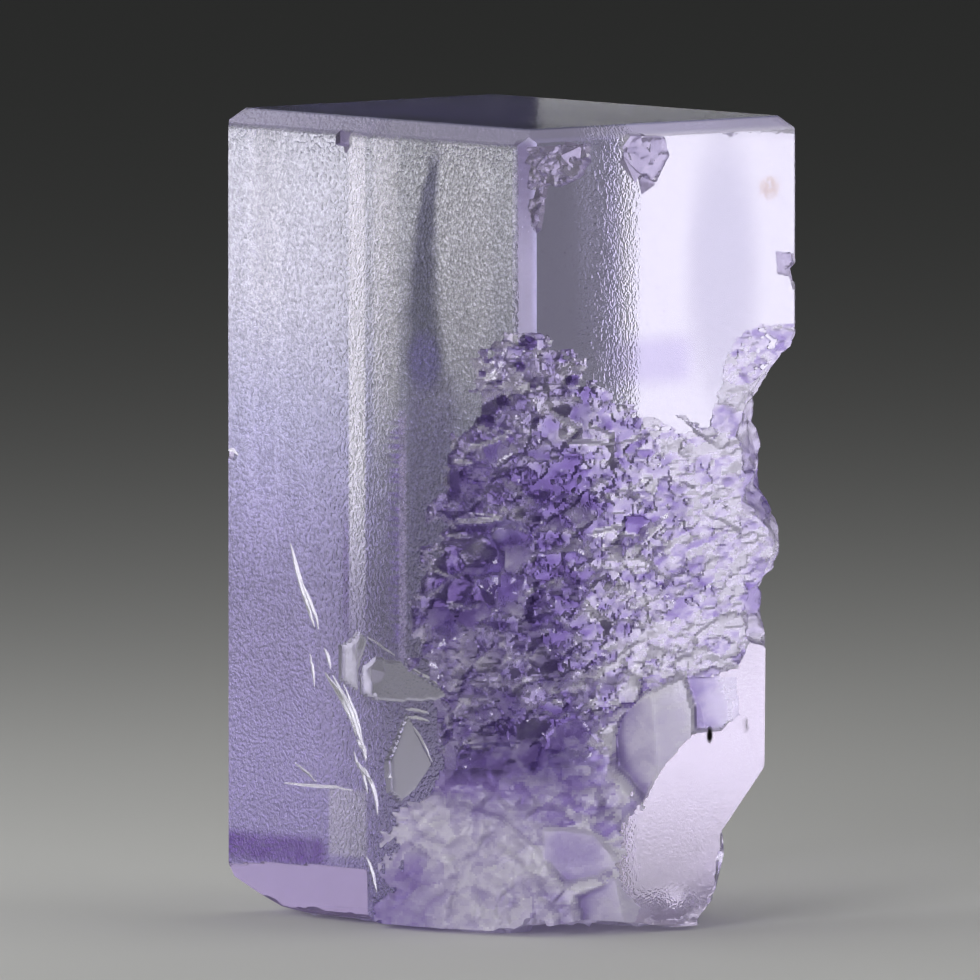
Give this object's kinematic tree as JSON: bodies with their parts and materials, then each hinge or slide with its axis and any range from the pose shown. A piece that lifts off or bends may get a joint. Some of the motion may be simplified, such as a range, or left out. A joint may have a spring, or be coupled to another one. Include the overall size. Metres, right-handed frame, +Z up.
{
  "type": "fluorite specimen",
  "caption": "Tall clear to lavender fluorite crystal with bevelled edges, a stepped broken front corner, a chipped rear edge and a rough base.",
  "frame": {"origin": "centre of the bounding box's bottom, on the surface it stands on", "axes": "+Z up the crystal's long axis, the long side face looks to -Y and the short side face to +X"},
  "size_m": [0.023, 0.018, 0.04],
  "materials": {
    "fluorite": "clear to lavender fluorite, softly frosted crystal faces, rough stepped break in deeper purple"
  },
  "bodies": {
    "root": {"fluorite_crystal": "fluorite"}
  },
  "joints": []
}
